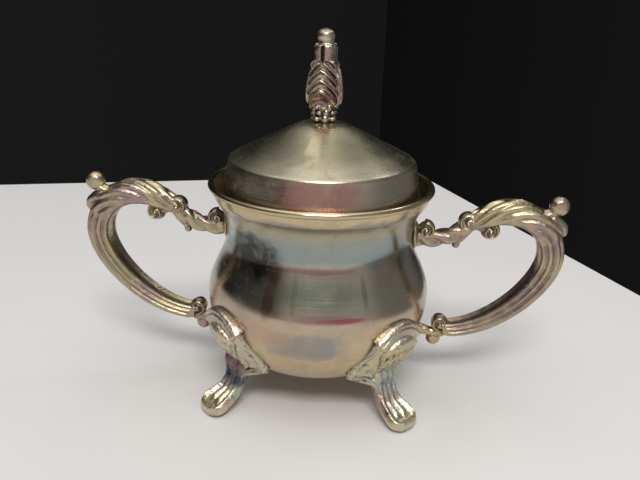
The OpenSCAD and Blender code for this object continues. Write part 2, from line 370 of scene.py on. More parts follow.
def turned(piece, name, degrees):
    """Copy of a piece, turned about the bowl's axis."""
    mesh = piece.data.copy()
    mesh.transform(Matrix.Rotation(math.radians(degrees), 4, "Z"))
    copy = bpy.data.objects.new(name, mesh)
    bpy.context.scene.collection.objects.link(copy)
    return copy


# ---------------------------------------------------------------- bowl and lid outlines
LOWER = np.stack([BASE_R + (BELLY_R - BASE_R) * np.cos(np.radians(np.linspace(-90, 0, 33))),
                  BELLY_Z + (BELLY_Z - BASE_Z) * np.sin(np.radians(np.linspace(-90, 0, 33)))], 1)
SHOULDER = cubic([(BELLY_R, BELLY_Z), (BELLY_R, BELLY_Z + 8.8), (NECK_R, NECK_Z - 8.8), (NECK_R, NECK_Z)],
                 28, False)
COLLAR = cubic([(NECK_R, NECK_Z), (NECK_R, NECK_Z + 6.3), (CREASE_R - 1.9, CREASE_Z - 2.3),
                (CREASE_R, CREASE_Z)], 20, False)
FLARE = np.array([(CREASE_R + 0.5, CREASE_Z + 1.0), (RIM_R - 0.3, RIM_Z - 0.8), (RIM_R, RIM_Z)])
WALL_OUTLINE = np.vstack([LOWER, SHOULDER, COLLAR, FLARE])


def bowl_radius(z):
    return np.interp(z, WALL_OUTLINE[:, 1], WALL_OUTLINE[:, 0])


def bowl_normal(z):
    """Outward normal of the bowl's wall, as its parts along the radius and Z."""
    d = 0.2
    slope = (bowl_radius(z + d) - bowl_radius(z - d)) / (2 * d)
    size = np.sqrt(1 + slope ** 2)
    return 1 / size, -slope / size


def bowl_piece():
    outside = np.vstack([[(0, BASE_Z), (BASE_R * 0.5, BASE_Z), (BASE_R - 1.0, BASE_Z)], WALL_OUTLINE])
    inside = shifted(outside, BOWL_WALL)[::-1]
    inside[-1] = (0, BASE_Z + BOWL_WALL)
    lip = arc((RIM_R - BOWL_WALL / 2, RIM_Z), LIP_R, 0, 360, 28)[:-1]
    return make("spun_bowl", joined([lathe(np.vstack([outside, inside])), lathe(lip)]))


def lid_piece():
    slope = math.degrees(math.atan2(SKIRT_R - CONE_R, CORNER_Z - SKIRT_Z))
    rise = math.degrees(math.atan2(CONE_TOP_Z - CORNER_Z, CONE_R - TOP_R))
    turn = 90 - slope - rise
    reach = CORNER_ROUND * math.tan(math.radians(turn / 2))
    s, c = math.sin(math.radians(slope)), math.cos(math.radians(slope))
    centre = np.array([CONE_R, CORNER_Z]) - reach * np.array([-s, c]) - CORNER_ROUND * np.array([c, s])
    corner = arc(centre, CORNER_ROUND, slope, slope + turn, 12)
    skirt_top = corner[0]
    skirt = np.array([(SKIRT_R, SKIRT_Z)]) + np.linspace(0, 1, 10)[:-1, None] * (skirt_top - (SKIRT_R, SKIRT_Z))
    cone_end = np.array([TOP_R + 1.2, CONE_TOP_Z - 0.5])
    cone = corner[-1] + np.linspace(0, 1, 14)[1:, None] * (cone_end - corner[-1])
    dome = cubic([cone[-1], (TOP_R, CONE_TOP_Z), (TOP_R - 2, TOP_Z), (TOP_R - 4, TOP_Z)], 8, False)
    outside = np.vstack([skirt, corner, cone, dome, [(STUD_HOLE_R, TOP_Z)]])
    inside = shifted(outside, LID_WALL)[::-1]
    hem = arc((SKIRT_R - LID_WALL / 2, SKIRT_Z + LID_WALL / 2), LID_WALL / 2, -180, 0, 8)[1:-1]
    return make("spun_lid", lathe(np.vstack([outside, inside, hem])))


# ---------------------------------------------------------------- handle
def handle_line():
    """Centre line of the handle from the neck to the hook, and lengths where its stretches end."""
    root = np.array([bowl_radius(HANDLE_ROOT_Z) - 0.6, HANDLE_ROOT_Z])
    stem = cubic([root, root + (9, -0.7), KNUCKLE - (5, 6), KNUCKLE], 40)
    leaf = cubic([KNUCKLE, KNUCKLE + (4, 1.5), (BOW_CENTRE[0] - 6, BOW_TOP_Z), (BOW_CENTRE[0], BOW_TOP_Z)],
                 40, False)
    bow = arc(BOW_CENTRE, BOW_ROUND, 90, 0, 50, False)
    drop = BOW_CENTRE[1] - HANDLE_LOW_Z
    lower = cubic([(BOW_X, BOW_CENTRE[1]), (BOW_X, BOW_CENTRE[1] - drop * 0.375),
                   (BOW_X - 18.1, HANDLE_LOW_Z + 0.5), HOOK], 90, False)
    ends = [float(np.linalg.norm(np.diff(part, axis=0), axis=1).sum()) for part in (stem, leaf, bow)]
    line, length = resample(np.vstack([stem, leaf, bow, lower]), 420)
    return line, length, np.cumsum(ends)


def handle_shells():
    """The handle on the side of +X: its bar, and every scroll, leaf, ball and pad on it."""
    line, length, (knuckle_at, top_at, turn_at) = handle_line()
    total = length[-1]
    stations = [0, knuckle_at * 0.6, knuckle_at, knuckle_at + 6, top_at, turn_at, total - 18, total]
    thick = np.interp(length, stations, [2.6, 2.5, 2.5, 3.4, 4.1, 4.1, 3.1, 2.5])
    depth = np.interp(length, stations, [2.8, 2.7, 2.8, 3.9, 4.8, 5.0, 4.0, 3.2])

    def relief(at, angle):
        rope = 0.8 * (np.abs(np.cos(1.5 * angle + at * 2 * np.pi / ROPE_PITCH)) - 0.6)
        ribs = 1.0 * (np.abs(np.cos(np.pi * angle / np.radians(RIB_DEGREES))) - 0.6)
        ribs = ribs * ramp(np.cos(angle), -0.75, -0.5)
        veins = 0.85 * (np.abs(np.cos(np.pi * (np.abs(angle) / 0.8 + at / VEIN_PITCH))) - 0.5)
        veins = veins * ramp(np.cos(angle), -0.7, -0.3) + 0.5 * bump(angle, 0.16)
        channel = -0.8 * ramp(-np.cos(angle), 0.78, 0.95)
        leafy = ramp(at, knuckle_at - 1, knuckle_at + 3) * (1 - ramp(at, turn_at - 9, turn_at - 4))
        roped = 1 - ramp(at, knuckle_at - 4, knuckle_at)
        plain = ramp(at, turn_at - 9, turn_at - 4)
        fade = 1 - ramp(at, total - 4, total)
        return rope * roped + veins * leafy + (ribs + channel) * plain * fade

    bar = flat_bar(line, thick, depth, relief, around=96, square=(3.0, 5.0))
    neck = bowl_radius(HANDLE_ROOT_Z)
    pad = blob((neck + 0.4, 0, NECK_Z - 0.8), (1.7, 4.4, 5.6))
    end_scroll = volute((neck + 4.6, NECK_Z + 1.5), 3.6, 3.2, 100, -1.2)
    knuckle = volute(KNUCKLE + (-0.6, -0.1), 3.8, 3.5, 60, 1.3)
    collar_leaf = blob((KNUCKLE[0] - 4.4, 0, KNUCKLE[1] - 3.8), (2.2, 3.0, 2.3))
    thorn = blob((KNUCKLE[0] - 4.1, 0, KNUCKLE[1] - 8.6), (1.45, 1.45, 1.6))
    thorn_leaf = wire(smooth_line([(KNUCKLE[0] - 0.4, 0, KNUCKLE[1] - 2.5),
                                   (KNUCKLE[0] - 2.2, 0, KNUCKLE[1] - 5.5),
                                   (KNUCKLE[0] - 4.0, 0, KNUCKLE[1] - 7.8)], 8), np.linspace(2.0, 1.2, 17))
    hanging = volute((BOW_CENTRE[0] - 6.6, BOW_CENTRE[1] + 8.4), 3.9, 3.2, 130, -1.3)
    hanging_stem = wire(smooth_line([(BOW_CENTRE[0] - 12.0, 0, BOW_CENTRE[1] + 11.4),
                                     (BOW_CENTRE[0] - 9.8, 0, BOW_CENTRE[1] + 9.8),
                                     (BOW_CENTRE[0] - 7.6, 0, BOW_CENTRE[1] + 10.4)], 8), 2.1)
    # the leaf's curled tip with its ball, and the broad second tip at the turn
    ball_at = np.array([BOW_CENTRE[0] + 16.4, BOW_CENTRE[1] + 18.8])
    curl = smooth_line([(BOW_CENTRE[0] + 2, BOW_CENTRE[1] + 16.4), (BOW_CENTRE[0] + 8.5, BOW_CENTRE[1] + 15.0),
                        (BOW_CENTRE[0] + 13.2, BOW_CENTRE[1] + 15.6), ball_at], 10)
    curl_leaf = flat_bar(curl, np.linspace(2.8, 1.6, len(curl)), np.linspace(3.6, 2.0, len(curl)),
                         lambda at, angle: 0.3 * (np.abs(np.cos(2.5 * angle)) - 0.5))
    ball = blob((ball_at[0], 0, ball_at[1]), (3.5, 3.4, 3.5), dimple=0.2)
    tip = smooth_line([(BOW_CENTRE[0] + 6.0, BOW_CENTRE[1] + 14.2),
                       (BOW_CENTRE[0] + 12.5, BOW_CENTRE[1] + 12.8),
                       (BOW_CENTRE[0] + 16.8, BOW_CENTRE[1] + 10.8),
                       (BOW_CENTRE[0] + 18.6, BOW_CENTRE[1] + 8.0)], 10)
    tip_leaf = flat_bar(tip, np.interp(np.arange(len(tip)), [0, 12, 22, 30], [2.5, 4.0, 3.4, 2.0]),
                        np.interp(np.arange(len(tip)), [0, 14, 30], [3.9, 3.9, 2.4]),
                        lambda at, angle: 0.55 * (np.abs(np.cos(2.5 * angle + 0.12 * at)) - 0.5), around=60)
    # lower end: hook scroll, small ball, link to the belly, and the web that fills in below the hook
    hook = volute((HOOK[0] - 1.0, HOOK[1] + 2.4), 3.6, 3.3, -90, -1.3)
    small = blob((HOOK[0] - 3.0, 0, HOOK[1] - 4.4), (2.7, 2.7, 2.7), dimple=0.22)
    wall = bowl_radius(HOOK[1] - 1.2)
    link = wire(smooth_line([(HOOK[0] - 1.0, 0, HOOK[1] - 0.4), (HOOK[0] - 3.2, 0, HOOK[1] - 1.9),
                             ((HOOK[0] + wall) / 2 - 2, 0, HOOK[1] - 1.0), (wall - 0.2, 0, HOOK[1] - 0.2)], 8),
                np.interp(np.arange(25), [0, 12, 24], [2.1, 1.8, 2.3]))
    link_pad = blob((wall + 0.1, 0, HOOK[1] - 0.4), (1.2, 2.8, 2.8))
    web = blob((HOOK[0] - 0.5, 0, HOOK[1] - 1.5), (2.2, 2.2, 2.2))
    return [bar, pad, end_scroll, knuckle, collar_leaf, thorn, thorn_leaf, hanging, hanging_stem, curl_leaf,
            ball, tip_leaf, hook, small, link, link_pad, web]


# ---------------------------------------------------------------- foot
def on_bowl(y, z, proud):
    """Points at the sideways place y and height z, proud of the bowl's wall."""
    radius = bowl_radius(z)
    along, up = bowl_normal(z)
    a = np.arcsin(np.clip(y / radius, -0.95, 0.95))
    reach = radius + proud * along
    return np.stack([reach * np.cos(a), reach * np.sin(a), z + proud * up], -1)


def shield_shell():
    """Shield on the belly: a lobe, a row of pits over pleats, hollow wings and banded lower corners."""
    u, v = np.meshgrid(np.linspace(-1, 1, 191), np.linspace(0, 1, 161), indexing="ij")
    half = np.interp(v, [0, 0.22, 0.5, 0.75, 1], [15.0, 15.3, 13.4, 11.4, 10.2])
    y = u * half
    side = np.abs(y)
    z_low = BASE_Z + 1.6 + 3.4 * np.abs(u) ** 1.6
    z_top = SHIELD_TOP_Z - 3.4 - 5.2 * np.abs(u) ** 2.0
    z = z_low + (z_top - z_low) * v
    up = z - BASE_Z
    # distance from the outline, about, in millimetres
    edge = np.minimum(np.minimum(v * 22, (1 - v) * 24), (1 - np.abs(u)) * half)
    proud = 1.3 * ramp(edge, -0.2, 1.1) + 0.35 * bump(edge - 1.0, 0.5)
    # bowed knee
    proud += 1.7 * (1 - (y / 15) ** 2).clip(0) * ramp(up, 3, 11) * (1 - ramp(up, 18, 26))
    # lobe under the roll
    lobe = 1 - ((y / 7.6) ** 2 + ((up - 17.3 + 0.045 * y ** 2) / 2.4) ** 2)
    proud += 1.7 * np.sqrt(np.clip(lobe, 0, 1)) - 0.5 * bump(lobe, 0.15)
    # row of deep pits, for the pierced holes, in a raised ledge
    row = up - 13.0 + 0.04 * y ** 2
    cell = (y / HOLE_PITCH - np.round(y / HOLE_PITCH)) * HOLE_PITCH
    panel = 1 - ramp(side, 6.6, 7.4)
    proud += 0.9 * bump(row, 1.6) * panel
    proud -= 3.4 * np.exp(-(cell / 0.8) ** 2 - (row / 0.95) ** 2) * panel
    # pleats below the row
    fan = np.abs(np.cos(np.pi * y / np.interp(up, [1, 10], [2.0, 2.7])))
    proud += 1.1 * (fan - 0.5) * (1 - ramp(up, 9.6, 11.4)) * (1 - ramp(side, 7.0, 8.2)) * ramp(edge, 0.2, 1.2)
    # stepped edge and rib between the middle and the wings
    inner = side - np.interp(up, [4, 15], [6.6, 8.8])
    beside = ramp(up, 4, 6) * (1 - ramp(up, 14, 16))
    proud += 0.5 * np.cos(2 * np.pi * up / 1.3) * bump(inner + 0.9, 0.8) * beside
    proud += 0.9 * bump(inner - 0.5, 0.6) * beside
    # hollow wings with a pit each
    proud -= 1.2 * bump(side - 12.0, 1.9) * bump(up - 11.0, 4.4)
    proud -= 1.6 * np.exp(-((side - 11.4) / 0.75) ** 2 - ((up - 9.9) / 0.7) ** 2)
    # double band along the lower corners
    foot = z - z_low
    outer = ramp(side, 4.0, 7.5)
    proud += (1.1 * bump(foot - 0.9, 0.55) + 0.9 * bump(foot - 2.8, 0.6) - 0.5 * bump(foot - 1.9, 0.4)) * outer
    # uneven skin of the casting
    proud += 0.12 * np.sin(1.7 * y + 0.6 * up) * np.sin(1.3 * up - 0.8 * y) * ramp(edge, 0.5, 2)
    return slab(on_bowl(y, z, proud), on_bowl(y, z, np.full_like(proud, -0.3)))


def roll_shell():
    """Ribbed roll along the shield's arched top, as a folded ribbon with slanting blunt ends."""
    t, w = np.meshgrid(np.linspace(-1, 1, 121), np.linspace(-1, 1, 61), indexing="ij")
    y = (8.6 + 2.2 * w) * t
    z = SHIELD_TOP_Z - 5.0 + 2.4 * w - (4.4 + 0.3 * w) * np.abs(t) ** 2.2
    swell = np.sqrt(np.clip(1 - np.abs(w) ** 3, 0, 1)) * (1 - 0.25 * (np.abs(t) > 0.985))
    proud = 0.4 + (2.5 + 1.0 * np.abs(t) ** 3) * swell - 0.75 * bump(w - 0.28, 0.16) - 0.6 * bump(w + 0.4, 0.15)
    return slab(on_bowl(y, z, proud), on_bowl(y, z, np.full_like(proud, -0.3)))


def leg_shells():
    """Leg from the knee to the toe, as a spoon with a raised border and flutes."""
    path = smooth_line([(ANKLE_R - 1.5, BASE_Z + 7), (ANKLE_R + 0.6, BASE_Z + 2), (ANKLE_R + 0.4, BASE_Z - 1.8),
                        (ANKLE_R + 1.7, BASE_Z - 4.7), (ANKLE_R + 4.4, BASE_Z * 0.43),
                        (TOE_R - 3.6, BASE_Z * 0.27), (TOE_R, BASE_Z * 0.16),
                        (TOE_R + 2.75, BASE_Z * 0.12)], 16)
    path, at = resample(path, 131)
    s = at / at[-1]
    half = np.interp(s, [0, 0.18, 0.34, 0.46, 0.62, 0.78, 0.9, 1], [7.4, 5.8, 4.6, 4.6, 5.2, 6.1, 6.4, 6.4])
    # rounded end of the toe
    left = (1 - s) * at[-1]
    half = half * np.sqrt(np.clip(1 - (1 - np.clip(left / 5.4, 0, 1)) ** 2.3, 0.0, 1)) + 0.05
    u = np.linspace(-1, 1, 85)
    ahead = np.gradient(path, axis=0)
    ahead /= np.linalg.norm(ahead, axis=1)[:, None]
    # outward and upward side of the leg
    out = np.stack([-ahead[:, 1], ahead[:, 0]], 1)
    y = half[:, None] * u[None, :]
    edge = np.minimum((1 - np.abs(u))[None, :] * half[:, None], left[:, None] * 0.9)
    body = np.interp(s, [0, 0.3, 0.5, 0.75, 1], [2.8, 2.2, 2.0, 2.1, 1.9])[:, None]
    round_off = np.sqrt(np.clip(1 - (1 - np.clip(edge / 1.7, 0, 1)) ** 2, 0, 1))
    spoon = ramp(s, 0.42, 0.62)[:, None]
    flutes = np.abs(np.sin(2 * np.pi * u[None, :])) * (1 - ramp(left, 6.5, 3.5))[:, None]
    hollow = ramp(edge, 1.2, 2.4)
    top = body * round_off + 0.35 * bump(edge - 1.05, 0.6) - spoon * hollow * (0.95 - 0.85 * flutes)
    top += (1 - spoon) * 0.75 * (flutes - 0.5) * hollow
    bottom = np.interp(s, [0, 0.3, 0.6, 1], [3.0, 2.4, 2.2, 2.2])[:, None] * round_off

    def grid(offset):
        return np.stack([path[:, :1] + out[:, :1] * offset, y, path[:, 1:] + out[:, 1:] * offset], -1)

    shells = [slab(grid(top), grid(-bottom))]
    # mouldings that sweep from the shield's lower corners into the leg's border
    for side in (-1, 1):
        for shift, size in ((0.0, 1.0), (1.7, 0.8)):
            corner = on_bowl(side * np.array([14.4, 11.4, 8.2]) * (1 - 0.03 * shift),
                             BASE_Z + np.array([4.9, 3.8, 2.0]) + shift * 0.9, np.array([0.9, 1.4, 2.0]))
            ankle = np.array([
                (ANKLE_R + 1.4 + shift * 0.5, side * (5.3 - shift * 0.5), BASE_Z - 0.6 + shift * 0.5),
                (ANKLE_R + 2.0 + shift * 0.5, side * (4.3 - shift * 0.5), BASE_Z - 3.4 + shift * 0.3),
                (ANKLE_R + 3.6 + shift * 0.4, side * (4.0 - shift * 0.4), BASE_Z - 6.0)])
            shells.append(wire(smooth_line(np.vstack([corner, ankle]), 10), size * np.linspace(1.0, 0.75, 51)))
        shells.append(blob(corner[0], (1.2, 1.2, 1.5), around=18))
    return shells


def foot_piece():
    """One foot, seated on the bowl and cut flat at the table."""
    shells = [shield_shell(), roll_shell()] + leg_shells()
    piece = fused("cast_foot", shells, FOOT_VOXEL, FOOT_KEEP, rounds=1)
    press_to_bowl(piece)
    co = vertex_array(piece.data)
    co[:, 2] = np.maximum(co[:, 2], 0.0)
    piece.data.vertices.foreach_set("co", co.ravel())
    return piece


# ---------------------------------------------------------------- finial and its fastening
def finial_piece():
    """Finial with overlapping leaves, blades at its sides and a stem of two lobes."""
    height = finial_high[2] - finial_low[2]
    widest = finial_high[0]
    z, a = np.meshgrid(np.linspace(0, height, 281), np.linspace(-np.pi, np.pi, 240, endpoint=False),
                       indexing="ij")
    # profile: radii at shares of the height, through which a smooth line runs
    outline = smooth_line([(0, 3.2), (0.04, 3.5), (0.09, 3.0), (0.13, 3.4), (0.2, 5.0), (0.3, 5.6), (0.42, 5.3),
                           (0.54, 4.8), (0.62, 4.3), (0.67, 4.0), (0.81, 4.05), (0.835, 3.1), (0.87, 2.9),
                           (0.91, 3.15), (0.945, 3.0), (0.972, 2.35), (0.99, 1.3), (1, 0.15)], 8)
    radius = np.interp(z / height, outline[:, 0], outline[:, 1])
    # angle from the middle of the front or of the back, and the leaves that overlap upward there
    face = np.abs(np.abs(a) - np.pi / 2)
    leafy = ramp(z, 5.0, 6.6) * (1 - ramp(z, 20.0, 21.0))
    front = 1 - ramp(face, 1.0, 1.2)
    rims = np.array([6.0, 11.6, 14.8, 18.0, 20.6, 24.0])
    level = z + 4.2 * face ** 1.4
    leaf = np.clip(np.searchsorted(rims, level) - 1, 0, len(rims) - 2)
    share = np.clip((level - rims[leaf]) / (rims[leaf + 1] - rims[leaf]), 0, 1)
    radius += leafy * front * (1.0 * share ** 1.6 - 0.6 + 0.8 * bump(share - 0.8, 0.19))
    # pocket under the lowest arch
    radius -= 0.9 * bump(face, 0.5) * bump(z - 7.6, 1.7)
    # upright blades on both sides
    blades = np.abs(np.cos(np.pi * (np.pi / 2 - face) / 0.3))
    rise = ramp(z, 4.8, 6.5) * (1 - ramp(z + 5.0 * (1 - np.clip(face - 1.0, 0, 0.57) / 0.57), 17.5, 20.5))
    radius += rise * (1 - front) * (1.8 * blades - 0.9)
    # two lobes of the stem, with a groove in front and behind
    stem = ramp(z, 19.0, 20.5) * (1 - ramp(z, 25.0, 25.8))
    radius += stem * (0.1 - 1.5 * bump(face, 0.13) - 0.4 * bump(face - 1.57, 0.2))
    radius = np.minimum(radius, widest)
    a = a + FINIAL_TURN
    rings = np.stack([radius * np.cos(a), radius * np.sin(a), finial_low[2] + z], -1)
    shells = [tube(rings)]
    # curled leaves round the foot, and nubs on top of the stem's lobes
    rows = ((7, 3.3, 1.1, 1.4, 0.5), (9, 3.6, 3.4, 1.1, 0.2), (6, 4.2, 5.3, 1.0, 0.0))
    for count, ring, up, size, shift in rows:
        for k in range(count):
            t = 2 * np.pi * (k + shift) / count
            shells.append(blob((ring * math.cos(t), ring * math.sin(t), finial_low[2] + up),
                               (size, size, size * (1.3 if k % 2 else 0.8)), around=16))
    for k in range(4):
        t = np.pi / 2 * (k + 0.5) + FINIAL_TURN
        shells.append(blob((3.3 * math.cos(t), 3.3 * math.sin(t), finial_low[2] + 25.4), (1.0, 1.0, 0.95),
                           around=16))
    piece = fused("cast_finial", shells, FINIAL_VOXEL, FINIAL_KEEP, rounds=1)
    co = vertex_array(piece.data) / MM
    reach = np.hypot(co[:, 0], co[:, 1])
    scale = np.minimum(1, (widest - 0.02) / np.maximum(reach, 1e-6))
    co[:, :2] *= scale[:, None]
    co[:, 2] = np.clip(co[:, 2], finial_low[2], finial_high[2])
    piece.data.vertices.foreach_set("co", (co * MM).ravel())
    return piece


def thread_piece():
    """Threaded stud below the finial."""
    radius = stud_high[0]
    z, a = np.meshgrid(np.arange(stud_low[2], stud_high[2], THREAD_PITCH / 10),
                       np.linspace(0, 2 * np.pi, 48, endpoint=False), indexing="ij")
    tooth = np.abs(np.mod(z / THREAD_PITCH + a / (2 * np.pi), 1) * 2 - 1)
    ends = ramp(z, stud_low[2], stud_low[2] + 0.5)
    r = radius - THREAD_DEPTH * tooth - 0.35 * (1 - ends)
    return make("threaded_stud", tube(np.stack([r * np.cos(a), r * np.sin(a), z], -1)))


def washer_piece():
    low, high = washer_low[2], washer_high[2]
    inner, outer, soft = STUD_HOLE_R, washer_high[0], 0.12
    outline = np.array([(inner + soft, low), (outer - soft, low), (outer, low + soft), (outer, high - soft),
                        (outer - soft, high), (inner + soft, high), (inner, high - soft), (inner, low + soft)])
    return make("washer", lathe(outline, 96), smooth=False)


def nut_piece():
    """Six-sided nut with chamfered corners and a bore."""
    low, high = nut_low[2], nut_high[2]
    flat = (nut_high[1] - nut_low[1]) / 2
    bore = stud_high[0] + 0.02
    a = np.linspace(0, 2 * np.pi, 96, endpoint=False)
    to_flat = np.mod(a, np.pi / 3) - np.pi / 6
    hexagon = flat / np.cos(to_flat)
    round_top = np.full_like(a, flat * 1.02)
    straight = np.full_like(a, bore)
    chamfer, corner = 0.25, 0.45
    level = [(straight + chamfer, low), (round_top, low), (hexagon, low + corner), (hexagon, high - corner),
             (round_top, high), (straight + chamfer, high), (straight, high - chamfer),
             (straight, low + chamfer)]
    rings = np.array([np.stack([r * np.cos(a), r * np.sin(a), np.full_like(a, z)], 1) for r, z in level])
    return make("nut", (rings.reshape(-1, 3), grid_faces(len(level), len(a), wrap_rows=True, wrap_cols=True)),
                smooth=False)


# ---------------------------------------------------------------- materials
class Nodes:
    """Short calls for building a material's nodes."""

    def __init__(self, name):
        self.material = bpy.data.materials.new(name)
        self.material.use_nodes = True
        self.tree = self.material.node_tree
        self.tree.nodes.clear()

    def add(self, kind, inputs=None, **settings):
        node = self.tree.nodes.new(kind)
        for key, value in settings.items():
            setattr(node, key, value)
        for key, value in (inputs or {}).items():
            socket = node.inputs[key]
            if isinstance(value, bpy.types.NodeSocket):
                self.tree.links.new(value, socket)
            else:
                socket.default_value = value
        return node

    def math(self, operation, a, b=0.0, clamp=False):
        return self.add("ShaderNodeMath", {0: a, 1: b}, operation=operation, use_clamp=clamp).outputs[0]

    def noise(self, vector, scale, detail=3.0, rough=0.5, distortion=0.0):
        return self.add("ShaderNodeTexNoise", {"Vector": vector, "Scale": scale, "Detail": detail,
                                               "Roughness": rough, "Distortion": distortion}).outputs[0]

    def ramp(self, factor, stops):
        node = self.add("ShaderNodeValToRGB", {"Fac": factor})
        elements = node.color_ramp.elements
        while len(elements) > len(stops):
            elements.remove(elements[-1])
        while len(elements) < len(stops):
            elements.new(1.0)
        for element, (place, colour) in zip(elements, stops):
            element.position = place
            element.color = (*colour, 1.0)
        return node.outputs["Color"]

    def span(self, value, low, high, to_low=0.0, to_high=1.0):
        return self.add("ShaderNodeMapRange", {"Value": value, "From Min": low, "From Max": high,
                                               "To Min": to_low, "To Max": to_high}).outputs[0]

    def mix(self, factor, a, b):
        node = self.add("ShaderNodeMix", data_type="RGBA")
        for index, value in ((0, factor), (6, a), (7, b)):
            if isinstance(value, bpy.types.NodeSocket):
                self.tree.links.new(value, node.inputs[index])
            else:
                node.inputs[index].default_value = value if index == 0 else (*value, 1.0)
        return node.outputs[2]


TONES_HEIGHT = 0.14
CLOUD = (0.30, 0.22, 0.14)
SPECK = (0.20, 0.15, 0.10)
WORN = (0.86, 0.76, 0.58)


def plated(name, tones, height_tones=None, height_share=0.0, rough=(0.16, 0.34), brushed=0.0, crevice=0.0,
           dents=0.3, grain=0.3, lumps=0.0, dirt=(0.055, 0.038, 0.03), patches=34.0, stains_and_painted_light=()):
    """Tarnished silver plate, and painted reflections and highlights where they are listed.

    tones are stops of colour that a slow noise picks from, and patches is that noise's scale.
    height_tones are stops of colour from the table up, over TONES_HEIGHT metres.
    brushed is the strength of fine rings from spinning.
    crevice is the strength of the tarnish in hollows, of colour dirt.
    dents, grain and lumps are the strengths of broad dents, of fine grain and of a casting's unevenness.
    The listed patches of colour are real stains, and painted reflections and highlights; each is (degrees from
    the front, height in mm, half width in degrees, half height in mm, colour, strength).
    """
    n = Nodes(name)
    place = n.add("ShaderNodeTexCoord").outputs["Object"]
    axes = n.add("ShaderNodeSeparateXYZ", {0: place})
    x, y, z = axes.outputs
    radius = n.math("SQRT", n.math("ADD", n.math("MULTIPLY", x, x), n.math("MULTIPLY", y, y)))
    drift = n.noise(place, patches, 4.0, 0.55, 0.6)
    colour = n.ramp(n.span(drift, 0.3, 0.7), tones)
    if height_tones:
        wavy = n.math("ADD", n.math("DIVIDE", z, TONES_HEIGHT),
                      n.math("MULTIPLY", n.math("SUBTRACT", drift, 0.5), 0.09))
        colour = n.mix(height_share, colour, n.ramp(wavy, height_tones))
    # small cloudy stains
    stain = n.noise(place, 170.0, 5.0, 0.6, 0.4)
    if stains_and_painted_light:
        around = n.math("ARCTAN2", x, n.math("MULTIPLY", y, -1.0))
        ragged = n.math("MULTIPLY", n.math("SUBTRACT", stain, 0.5), 3.2)
    # patches of the list: real stains, and also painted reflections and highlights on the bowl and the lid
    for degrees, up, half_wide, half_high, tone, strength in stains_and_painted_light:
        wide = n.math("DIVIDE", n.math("SUBTRACT", around, math.radians(degrees)), math.radians(half_wide))
        high = n.math("DIVIDE", n.math("SUBTRACT", z, up * MM), half_high * MM)
        square = n.math("ADD", n.math("POWER", n.math("ABSOLUTE", wide), 3.0),
                        n.math("POWER", n.math("ABSOLUTE", high), 3.0))
        colour = n.mix(n.span(n.math("ADD", square, ragged), 1.5, 0.1, 0.0, strength), colour, tone)
    colour = n.mix(n.span(stain, 0.52, 0.78, 0.0, 0.35), colour, CLOUD)
    specks = n.noise(place, 900.0, 2.0, 0.5)
    colour = n.mix(n.span(specks, 0.66, 0.74, 0.0, 0.35), colour, SPECK)
    roughness = n.span(n.noise(place, 60.0, 4.0, 0.6), 0.3, 0.7, rough[0], rough[1])
    roughness = n.math("ADD", roughness, n.span(stain, 0.5, 0.8, 0.0, 0.12))
    if crevice:
        hollow = n.add("ShaderNodeAmbientOcclusion", {"Distance": 0.0016}, samples=8).outputs["AO"]
        hollow = n.span(hollow, 0.35, 0.92, crevice, 0.0)
        colour = n.mix(hollow, colour, dirt)
        worn = n.add("ShaderNodeNewGeometry").outputs["Pointiness"]
        colour = n.mix(n.span(worn, 0.53, 0.62, 0.0, 0.45), colour, WORN)
        roughness = n.math("ADD", roughness, n.math("MULTIPLY", hollow, 0.2), clamp=True)
    # relief: dents of the sheet, fine rings and grain
    height = n.math("MULTIPLY", n.noise(place, 45.0, 2.0, 0.4), dents)
    if brushed:
        rings = n.add("ShaderNodeCombineXYZ", {
            0: n.math("MULTIPLY", x, 8.0), 1: n.math("MULTIPLY", y, 8.0),
            2: n.math("MULTIPLY", n.math("SUBTRACT", z, radius), 900.0)}).outputs[0]
        lines = n.noise(rings, 1.6, 4.0, 0.7)
        height = n.math("ADD", height, n.math("MULTIPLY", lines, 0.004 * brushed))
        roughness = n.math("ADD", roughness, n.span(lines, 0.3, 0.7, -0.05 * brushed, 0.07 * brushed))
    height = n.math("ADD", height, n.math("MULTIPLY", n.noise(place, 700.0, 3.0, 0.6), 0.012 * grain))
    if lumps:
        height = n.math("ADD", height, n.math("MULTIPLY", n.noise(place, 420.0, 3.0, 0.55), lumps))
    scratches = n.add("ShaderNodeTexNoise", {"Vector": n.add("ShaderNodeMapping", {
        "Vector": place, "Rotation": (0.3, 0.5, 0.8), "Scale": (60.0, 2400.0, 700.0)}).outputs[0], "Scale": 1.0,
        "Detail": 1.0}).outputs[0]
    height = n.math("ADD", height, n.math("MULTIPLY", n.span(scratches, 0.68, 0.78), -0.004))
    relief = n.add("ShaderNodeBump", {"Height": height, "Strength": 1.0, "Distance": 0.001}).outputs[0]
    shader = n.add("ShaderNodeBsdfPrincipled", {"Base Color": colour, "Metallic": 1.0, "Roughness": roughness,
                                                "Normal": relief})
    n.add("ShaderNodeOutputMaterial", {"Surface": shader.outputs[0]})
    return n.material


